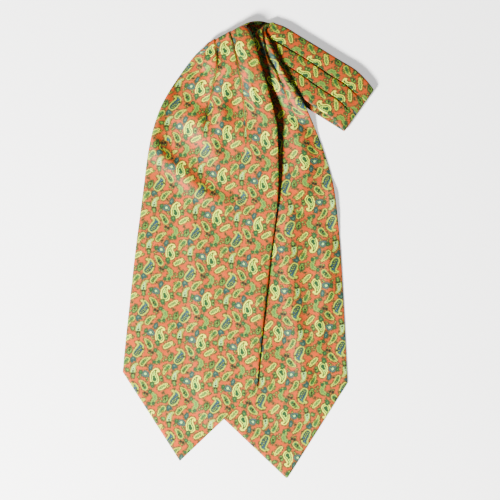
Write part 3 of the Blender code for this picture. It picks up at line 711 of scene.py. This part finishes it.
# one repeat, charted one by one: place (right, up), turn in degrees, then round blobs (right, up, radius)
chart = [
    {"ink": "cream", "at": (0, 0), "turn": 7, "blobs": [
        (0.1, -3, 4.5), (-0.7, -0.3, 3.9), (-0.8, 2.4, 3.1), (0, 4.7, 2.4), (1.4, 6.4, 1.9),
        (3.1, 6.6, 1.3), (4.2, 5.4, 0.9),
    ]},
    {"ink": "sageLeaf", "at": (36.6, 7.8), "turn": 7, "blobs": [
        (0.1, 0.2, 2), (0.7, 1.9, 1.6), (-0.6, -1.8, 1.1),
    ]},
    {"ink": "gem", "at": (32.4, 0.5), "turn": 7, "blobs": [
        (0.1, 0.5, 3), (-2.2, 0.1, 1.8), (2, -0.6, 2),
    ]},
    {"ink": "darkLeaf", "at": (27.4, 1.4), "turn": 7, "blobs": [(0.4, 0.7, 1.6), (-0.4, -0.7, 1.2)]},
    {"ink": "leaf", "at": (6.8, -0.8), "turn": 7, "blobs": [(-0.1, 1.1, 1.8), (0.1, -1.1, 1.7)]},
    {"ink": "darkLeaf", "at": (-1.2, -9.2), "turn": 7, "blobs": [(-0.1, 1.1, 2.1), (0.1, -1.1, 1.3)]},
    {"ink": "green", "at": (31, 14.3), "turn": 7, "blobs": [
        (-3.7, -3.6, 2.4), (-2.3, -1.4, 2.6), (-0.2, 0.6, 2.1), (2.1, 1.9, 1.5), (4.1, 2.7, 1),
    ]},
    {"ink": "stem", "at": (1.6, 20), "turn": 7, "blobs": [
        (-0.7, 4.6, 1.7), (1.3, 2.6, 2.1), (1.6, 0.1, 2.2), (0, -2.5, 2), (-1.8, -5, 1.8),
    ]},
    {"ink": "darkLeaf", "at": (0, 18.4), "turn": 7, "blobs": [
        (-2.8, -3.8, 1.4), (2, -3.6, 1.4), (-1.6, 8, 1.8),
    ]},
    {"ink": "large", "at": (22.2, -16.2), "turn": 5, "blobs": [
        (-2.1, -6.1, 3.7), (-0.2, -4, 4.3), (1.4, -1.5, 4.1), (2.2, 1.2, 3.2), (1.3, 3.6, 2.2),
        (-0.5, 5, 1.5), (-2.3, 5.2, 0.9),
    ]},
    {"ink": "sageLeaf", "at": (18.4, 13.2), "turn": 7, "blobs": [
        (0, 0.8, 2), (1.9, -0.3, 1.2), (-1.7, -0.3, 1.2), (-1, -2.2, 1),
    ]},
    {"ink": "leaf", "at": (13.6, -20.3), "turn": 7, "blobs": [
        (0.1, -0.1, 2.8), (-1, -2.2, 1.9), (0.9, 2.4, 1.7),
    ]},
    {"ink": "green", "at": (10.3, 8.2), "turn": 7, "blobs": [
        (2.9, 3.6, 2.5), (1.4, 2.1, 2.6), (-0.4, 0.1, 2.1), (-1.6, -2.1, 1.5), (-2.1, -3.8, 1),
    ]},
    {"ink": "mint", "at": (21.4, 5.4), "turn": 7, "blobs": [
        (-2.2, -3.6, 2.7), (-1.8, -1.1, 2.5), (-1, 1.4, 1.9), (0.7, 3.1, 1.4), (2.2, 3.6, 0.9),
    ]},
    {"ink": "leaf", "at": (13.8, 1.9), "turn": 7, "blobs": [(0.7, -0.3, 1.7), (-0.9, 0.4, 1.2)]},
    {"ink": "leaf", "at": (20.4, -3), "turn": 7, "blobs": [(-0.1, 1.1, 2), (0.1, -1.3, 1.5)]},
    {"ink": "green", "at": (31.1, -9.7), "turn": 7, "blobs": [
        (2.1, -3.2, 2.9), (0.9, -0.8, 2.8), (-0.6, 1.2, 2.3), (-2.4, 2.8, 1.4),
    ]},
    {"ink": "bar", "at": (9.8, -8.4), "turn": 10, "blobs": [
        (-3.6, -2, 2), (-1.4, -0.8, 2.4), (1, 0.6, 2.3), (3.2, 2.2, 1.5), (4.6, 0, 0.7),
    ]},
    {"ink": "darkDot", "at": (20.2, 2), "turn": 7, "blobs": [
        (-0.3, 0, 0.5), (-1.4, -2.9, 0.7), (0.8, -3, 0.7), (-13.2, -1.3, 0.6), (-2.4, 5, 0.4),
    ]},
    {"ink": "darkDot", "at": (33, 22), "turn": 7, "blobs": [
        (-2.3, -12.2, 0.8), (1.4, 2, 1.3), (3.9, 0.8, 1.2), (-0.5, 8.6, 0.7), (-7.6, -3.8, 0.5),
    ]},
    {"ink": "darkDot", "at": (9.6, -19.5), "turn": 7, "blobs": [
        (4, -1, 0.8), (4.6, 1.2, 0.6), (1.6, 4.8, 0.6), (13, 8.6, 0.5), (17.6, 0.2, 0.6),
    ]},
    {"ink": "paleDot", "at": (9, 9.5), "turn": 7, "blobs": [
        (-0.9, 2, 0.4), (0.5, 3.2, 0.4), (3.4, -0.4, 0.3), (4.5, -16.8, 0.4), (2.4, -1.4, 0.3),
    ]},
    {"ink": "paleDot", "at": (28.5, -5), "turn": 7, "blobs": [
        (-2.2, 1.9, 0.5), (-0.6, 3.1, 0.4), (6, 1.2, 0.5), (7, -0.6, 0.4), (2.4, -3.8, 0.3),
        (3.8, -6.6, 0.3),
    ]},
    {"ink": "paleDot", "at": (31, 14.3), "turn": 7, "blobs": [
        (-1.2, -0.4, 0.3), (-3.4, -3.6, 0.3), (3.4, 7.6, 0.4), (5.6, 6.4, 0.4),
    ]},
    {"ink": "paleDot", "at": (9.7, -23.6), "turn": 7, "blobs": [
        (-0.4, 0.4, 0.6), (-3, -0.8, 0.5), (-1.6, 3, 0.4), (3.4, 1.6, 0.4),
    ]},
    {"ink": "paleDot", "at": (22.2, -16.2), "turn": 5, "blobs": [
        (-2.6, -6.4, 0.35), (-1, -7, 0.35), (-1.6, -4.8, 0.35), (0, -5.4, 0.35), (-0.2, -3.4, 0.35),
        (1.4, -3.8, 0.35), (1, -1.8, 0.35), (2.6, -0.4, 0.35),
    ]},
]

printLook = {                             # scales are counted in a repeat
    "wander": (17.0, 0.014),              # hand-cut screens stray a little: scale, and how far
    "toneScale": 1.7,
    "fleckScale": 36.0,
    "fleckCover": 0.42,
    "ragged": (27.0, 0.6),                # scale, and units that a motif's edge strays
    "blobBlend": 1.4,
    "dotScale": 18.0,
    "dotCover": 0.84,
    "haloCover": 0.32,
}


def mathNode(tree, operation, *values, clamp=False):
    node = tree.nodes.new("ShaderNodeMath")
    node.operation = operation
    node.use_clamp = clamp
    for socket, value in zip(node.inputs, values):
        if isinstance(value, (int, float)):
            socket.default_value = value
        else:
            tree.links.new(value, socket)
    return node.outputs[0]


def vectorNode(tree, operation, *values, scale=None, out=0):
    node = tree.nodes.new("ShaderNodeVectorMath")
    node.operation = operation
    for socket, value in zip(node.inputs, values):
        if isinstance(value, (tuple, list)):
            socket.default_value = value
        else:
            tree.links.new(value, socket)
    if scale is not None:
        node.inputs["Scale"].default_value = scale
    return node.outputs[out]


def mixNode(tree, cover, base, top):
    node = tree.nodes.new("ShaderNodeMix")
    node.data_type = "RGBA"
    for socket, value in ((node.inputs["Factor"], cover), (node.inputs[6], base), (node.inputs[7], top)):
        if isinstance(value, (int, float, tuple)):
            socket.default_value = value
        else:
            tree.links.new(value, socket)
    return node.outputs[2]


def noiseNode(tree, vector, scale, detail=2.0, roughness=0.5, out="Fac"):
    node = tree.nodes.new("ShaderNodeTexNoise")
    node.inputs["Scale"].default_value = scale
    node.inputs["Detail"].default_value = detail
    node.inputs["Roughness"].default_value = roughness
    tree.links.new(vector, node.inputs["Vector"])
    return node.outputs[out]


def rampNode(tree, factor, stops):
    node = tree.nodes.new("ShaderNodeValToRGB")
    ramp = node.color_ramp
    while len(ramp.elements) < len(stops):
        ramp.elements.new(1.0)
    for element, (place, colour) in zip(ramp.elements, stops):
        element.position = place
        element.color = colour
    tree.links.new(factor, node.inputs["Fac"])
    return node


def orangeGround(tree, cloth):  # slightly mottled, with dull flecks
    tone = noiseNode(tree, cloth, printLook["toneScale"], detail=3.0)
    field = rampNode(tree, tone, [(place, (*shade, 1.0)) for place, shade in ground]).outputs[0]
    flecks = noiseNode(tree, cloth, printLook["fleckScale"], detail=1.0)
    fleck = mathNode(tree, "MULTIPLY_ADD", flecks, 8.0, -3.9, clamp=True)
    cover = mathNode(tree, "MULTIPLY", fleck, printLook["fleckCover"])
    return mixNode(tree, cover, field, (*ink["fleck"], 1.0))


def motifEdge(tree, drawn, motif):  # units outside the motif, its round blobs blended
    turn = math.radians(motif["turn"])
    atRight, atUp = motif["at"]
    local = vectorNode(tree, "ADD", drawn, (-atRight / printUnits, -atUp / printUnits, 0.0))
    local = vectorNode(tree, "WRAP", local, (0.5, 0.5, 0.5), (-0.5, -0.5, -0.5))
    local = vectorNode(tree, "SCALE", local, scale=printUnits)
    join = "MINIMUM" if "Dot" in motif["ink"] else "SMOOTH_MIN"
    edge = None
    for right, up, radius in motif["blobs"]:
        x = right * math.cos(turn) - up * math.sin(turn)
        y = right * math.sin(turn) + up * math.cos(turn)
        away = mathNode(tree, "SUBTRACT", vectorNode(tree, "DISTANCE", local, (x, y, 0.0), out=1), radius)
        edge = away if edge is None else mathNode(tree, join, edge, away, printLook["blobBlend"])
    return edge


def inked(tree, colour, edge, bands):  # lays one motif's bands over the colour so far
    deepest, span = 6.0, 7.2
    place = mathNode(tree, "MULTIPLY_ADD", edge, 1 / span, deepest / span, clamp=True)
    stops = [((distance + deepest) / span, (*ink[name], cover)) for distance, name, cover in bands]
    ramp = rampNode(tree, place, stops)
    return mixNode(tree, ramp.outputs["Alpha"], colour, ramp.outputs["Color"])


def fringed(tree, colour, drawn, nearest):  # dark dots round every motif, and a dull halo between them
    dots = tree.nodes.new("ShaderNodeTexVoronoi")
    dots.voronoi_dimensions = "2D"
    dots.inputs["Scale"].default_value = printLook["dotScale"]
    dots.inputs["Randomness"].default_value = 0.75
    tree.links.new(drawn, dots.inputs["Vector"])
    dot = mathNode(tree, "MULTIPLY_ADD", dots.outputs["Distance"], -7.0, 3.7, clamp=True)
    near = mathNode(tree, "MULTIPLY_ADD", nearest, -2.2, 4.0, clamp=True)
    outside = mathNode(tree, "MULTIPLY_ADD", nearest, 3.0, 0.4, clamp=True)
    fringe = mathNode(tree, "MULTIPLY", near, outside)
    halo = mathNode(tree, "MULTIPLY", fringe, printLook["haloCover"])
    colour = mixNode(tree, halo, colour, (*ink["fleck"], 1.0))
    dotted = mathNode(tree, "MULTIPLY", mathNode(tree, "MULTIPLY", fringe, dot), printLook["dotCover"])
    return mixNode(tree, dotted, colour, (*ink["olive"], 1.0))


def printGroup():
    tree = bpy.data.node_groups.new("paisleyPrint", "ShaderNodeTree")
    tree.interface.new_socket("Cloth", in_out="INPUT", socket_type="NodeSocketVector")
    tree.interface.new_socket("Print", in_out="OUTPUT", socket_type="NodeSocketColor")
    tree.interface.new_socket("Ink", in_out="OUTPUT", socket_type="NodeSocketFloat")
    cloth = tree.nodes.new("NodeGroupInput").outputs["Cloth"]

    scale, stray = printLook["wander"]
    wander = vectorNode(tree, "SUBTRACT", noiseNode(tree, cloth, scale, out="Color"), (0.5, 0.5, 0.5))
    drawn = vectorNode(tree, "ADD", cloth, vectorNode(tree, "SCALE", wander, scale=stray))
    scale, stray = printLook["ragged"]
    ragged = mathNode(tree, "MULTIPLY_ADD", noiseNode(tree, cloth, scale, detail=1.0), 2 * stray, -stray)

    colour = orangeGround(tree, cloth)
    nearest = None
    for motif in chart:
        edge = mathNode(tree, "ADD", motifEdge(tree, drawn, motif), ragged)
        colour = inked(tree, colour, edge, inkBands[motif["ink"]])
        nearest = edge if nearest is None else mathNode(tree, "MINIMUM", nearest, edge)
    colour = fringed(tree, colour, drawn, nearest)

    leave = tree.nodes.new("NodeGroupOutput")
    tree.links.new(colour, leave.inputs["Print"])
    tree.links.new(mathNode(tree, "MULTIPLY_ADD", nearest, -1.0, 0.5, clamp=True), leave.inputs["Ink"])
    return tree


silkLook = {
    "twillScale": 10.5,                   # diagonal ribs about 0.8 mm apart
    "twillLift": 0.35,
    "ribHeight": 0.0002,
    "slubScale": 9.0,
    "specular": 0.11,
    "sheen": 0.03,
    "sheenRoughness": 0.35,
    "inkRoughness": 0.06,
}


def silkTwill(name, group, roughness, depth):
    material = bpy.data.materials.new(name)
    material.use_nodes = True
    tree = material.node_tree
    shader = tree.nodes["Principled BSDF"]
    uv = tree.nodes.new("ShaderNodeUVMap")
    uv.uv_map = "cloth"
    prints = tree.nodes.new("ShaderNodeGroup")
    prints.node_tree = group
    tree.links.new(uv.outputs["UV"], prints.inputs["Cloth"])

    twill = tree.nodes.new("ShaderNodeTexWave")
    twill.wave_type = "BANDS"
    twill.bands_direction = "DIAGONAL"
    twill.inputs["Scale"].default_value = silkLook["twillScale"]
    twill.inputs["Distortion"].default_value = 0.6
    twill.inputs["Detail"].default_value = 1.0
    tree.links.new(uv.outputs["UV"], twill.inputs["Vector"])
    slub = noiseNode(tree, uv.outputs["UV"], silkLook["slubScale"], detail=4.0, roughness=0.6)

    # depth below 1 darkens the whole base colour as painted shade; the twill ribs vary the tone as the
    # weave does
    shade = mathNode(tree, "MULTIPLY_ADD", twill.outputs["Fac"], 0.10 * depth, 0.92 * depth)
    shade = mathNode(tree, "MULTIPLY", shade, mathNode(tree, "MULTIPLY_ADD", slub, 0.14, 0.94))
    colour = vectorNode(tree, "MULTIPLY", prints.outputs["Print"], shade)
    tree.links.new(colour, shader.inputs["Base Color"])
    rough = mathNode(tree, "MULTIPLY_ADD", slub, 0.10, roughness)
    rough = mathNode(tree, "MULTIPLY_ADD", prints.outputs["Ink"], silkLook["inkRoughness"], rough)
    tree.links.new(rough, shader.inputs["Roughness"])
    shader.inputs["Specular IOR Level"].default_value = silkLook["specular"]
    shader.inputs["Sheen Weight"].default_value = silkLook["sheen"]
    shader.inputs["Sheen Roughness"].default_value = silkLook["sheenRoughness"]

    bump = tree.nodes.new("ShaderNodeBump")
    bump.inputs["Strength"].default_value = silkLook["twillLift"]
    bump.inputs["Distance"].default_value = silkLook["ribHeight"]
    ribs = mathNode(tree, "MULTIPLY_ADD", slub, 0.5, twill.outputs["Fac"])
    tree.links.new(ribs, bump.inputs["Height"])
    tree.links.new(bump.outputs["Normal"], shader.inputs["Normal"])
    return material


paisley = printGroup()
bladeSilk = silkTwill("printed silk", paisley, 0.50, 1.0)
# the back blade's print is painted 8% darker all over: painted shade for the weaker light it gets
backSilkPaintedShade = silkTwill("printed silk underneath, painted shade", paisley, 0.50, 0.92)
# the band's print is painted 17% darker all over: painted shade for the weaker light on the band
bandSilkPaintedShade = silkTwill("band silk, painted shade", paisley, 0.52, 0.83)
print("cravat: silk ready")

# pieces
bladeShares = edgeShares(88)


def bandStart(table, z):  # the line where a blade's turn leaves the band
    left, right = rowEnds(table[0], z)
    return left + bladeShares[:, None] * (right - left)


backGrid = bladeGrid(backCloth, bladeShares, backRest, bandStart(bandCloth["upper"], upperBandMiddle))
backBlade = clothPiece("backBlade", backGrid, backSilkPaintedShade, True)
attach(backBlade, "root")
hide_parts("back_blade", "back_turn")

frontGrid = bladeGrid(frontCloth, bladeShares, frontRest, bandStart(bandCloth["lower"], bandWall / 2))
frontBlade = clothPiece("frontBlade", frontGrid, bladeSilk, True)
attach(frontBlade, "root")
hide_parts("front_blade", "front_turn")

neckband = clothPiece("neckband", bandGrid(), bandSilkPaintedShade, False)
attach(neckband, "root")
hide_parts("neckband_upper", "neckband_lower", "neckband_fold")

# table, light and camera
tableMesh = bpy.data.meshes.new("tableTop")
tableMesh.from_pydata([(-3, -3, 0), (3, -3, 0), (3, 3, 0), (-3, 3, 0)], [], [(0, 1, 2, 3)])
tableTop = bpy.data.objects.new("tableTop", tableMesh)
bpy.context.scene.collection.objects.link(tableTop)
tableTop.location.z = -0.0004
paper = bpy.data.materials.new("pale table")
paper.use_nodes = True
paperShader = paper.node_tree.nodes["Principled BSDF"]
paperShader.inputs["Base Color"].default_value = (0.93, 0.93, 0.93, 1.0)
paperShader.inputs["Roughness"].default_value = 0.85
paperShader.inputs["Emission Color"].default_value = (1.0, 1.0, 1.0, 1.0)
paperShader.inputs["Emission Strength"].default_value = 0.62          # lit from below, like a light table
tableMesh.materials.append(paper)


def softbox(name, place, size, watts, colour=(1.0, 1.0, 1.0)):  # aimed at the middle of the cravat
    light = bpy.data.lights.new(name, "AREA")
    light.shape = "DISK"
    light.size = size
    light.energy = watts
    light.color = colour
    lamp = bpy.data.objects.new(name, light)
    bpy.context.scene.collection.objects.link(lamp)
    lamp.location = place
    lamp.rotation_euler = (-Vector(place)).to_track_quat("-Z", "Y").to_euler()


softbox("keyLight", (-1.51, -1.42, 1.33), 0.56, 510.0, (1.0, 0.985, 0.96))
softbox("fillLight", (0.3, 0.2, 2.2), 1.6, 6.0)
world = bpy.context.scene.world or bpy.data.worlds.new("studio")
bpy.context.scene.world = world
world.use_nodes = True
world.node_tree.nodes["Background"].inputs["Color"].default_value = (1.0, 1.0, 1.0, 1.0)
world.node_tree.nodes["Background"].inputs["Strength"].default_value = 0.08

cameraHeight = 2.6
clothMiddle = 0.006
viewWidth = 0.550                         # metres of table across the picture
camera = bpy.data.objects.new("camera", bpy.data.cameras.new("camera"))
bpy.context.scene.collection.objects.link(camera)
camera.location = (0.00194, -0.00008, cameraHeight)
camera.data.sensor_width = 36.0
camera.data.lens = 36.0 * (cameraHeight - clothMiddle) / viewWidth
camera.rotation_euler = (0.0, 0.0, 0.0)
bpy.context.scene.camera = camera

print("cravat: done")
